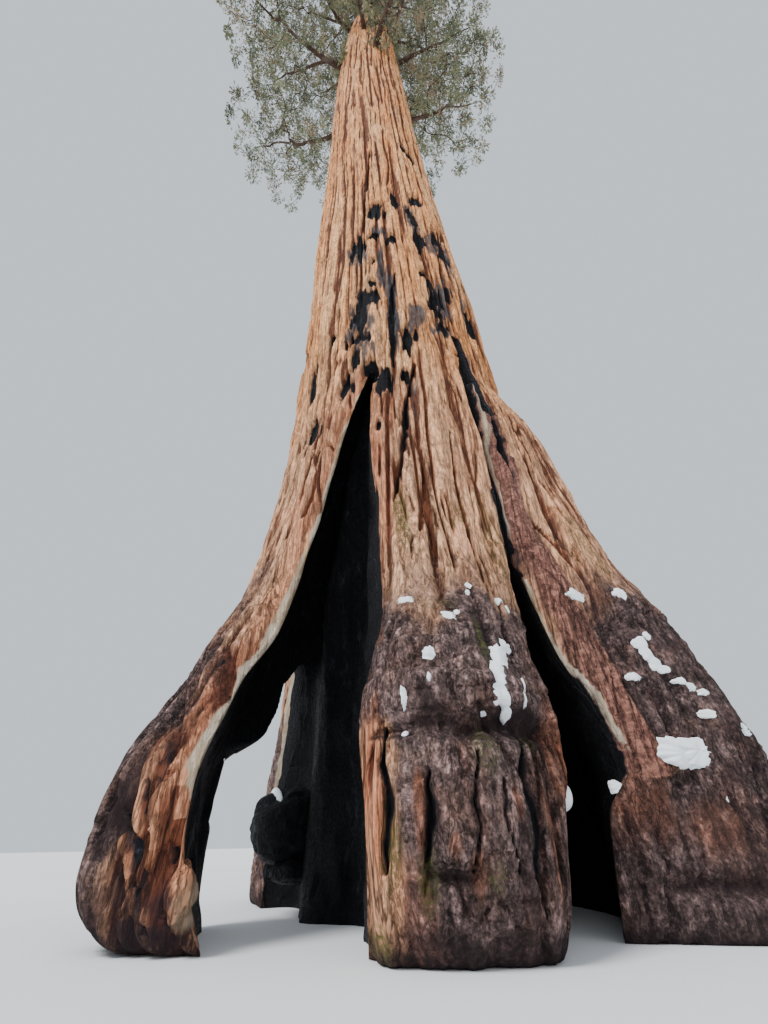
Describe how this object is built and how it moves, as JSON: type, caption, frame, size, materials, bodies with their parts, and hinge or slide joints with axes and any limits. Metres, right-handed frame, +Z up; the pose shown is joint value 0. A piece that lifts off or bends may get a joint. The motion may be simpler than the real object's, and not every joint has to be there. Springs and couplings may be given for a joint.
{
  "type": "giant redwood tree",
  "caption": "Giant redwood on a flared, fire-hollowed foot with a walk-through arch and a cave, tall ridged trunk, upswept boughs and rounded clumps of foliage.",
  "frame": {"origin": "on the flat cut of the charred core under the trunk, at ground level", "axes": "+Z up along the trunk, -Y towards the viewer who sees the arch on the left and the cave on the right, +X to that viewer's right"},
  "size_m": [9.188, 9.3161, 39.9868],
  "materials": {
    "bark": "deeply ridged fibrous bark, charred black in the caves",
    "limb_bark": "rough scaly bark",
    "foliage": "matt grey-green scale-leaved sprays"
  },
  "bodies": {
    "root": {"trunk": "bark", "bough_01": "limb_bark", "bough_02": "limb_bark", "bough_03": "limb_bark", "bough_04": "limb_bark", "bough_05": "limb_bark", "bough_06": "limb_bark", "bough_07": "limb_bark", "bough_08": "limb_bark", "bough_09": "limb_bark", "bough_10": "limb_bark", "bough_11": "limb_bark", "bough_12": "limb_bark", "bough_13": "limb_bark", "bough_14": "limb_bark", "bough_15": "limb_bark", "bough_16": "limb_bark", "bough_17": "limb_bark", "bough_18": "limb_bark", "bough_19": "limb_bark", "bough_20": "limb_bark", "bough_21": "limb_bark", "bough_22": "limb_bark", "bough_23": "limb_bark", "bough_24": "limb_bark", "bough_25": "limb_bark", "bough_26": "limb_bark", "foliage_01": "foliage", "foliage_02": "foliage", "foliage_03": "foliage", "foliage_04": "foliage", "foliage_05": "foliage", "foliage_06": "foliage", "foliage_07": "foliage", "foliage_08": "foliage", "foliage_09": "foliage", "foliage_10": "foliage", "foliage_11": "foliage", "foliage_12": "foliage", "foliage_13": "foliage", "foliage_14": "foliage", "foliage_15": "foliage", "foliage_16": "foliage", "foliage_17": "foliage", "foliage_18": "foliage", "foliage_19": "foliage", "foliage_20": "foliage", "foliage_21": "foliage", "foliage_22": "foliage", "foliage_23": "foliage", "foliage_24": "foliage", "foliage_25": "foliage", "foliage_26": "foliage", "foliage_top_1": "foliage", "foliage_top_2": "foliage", "foliage_top_3": "foliage", "foliage_top_4": "foliage"}
  },
  "joints": []
}
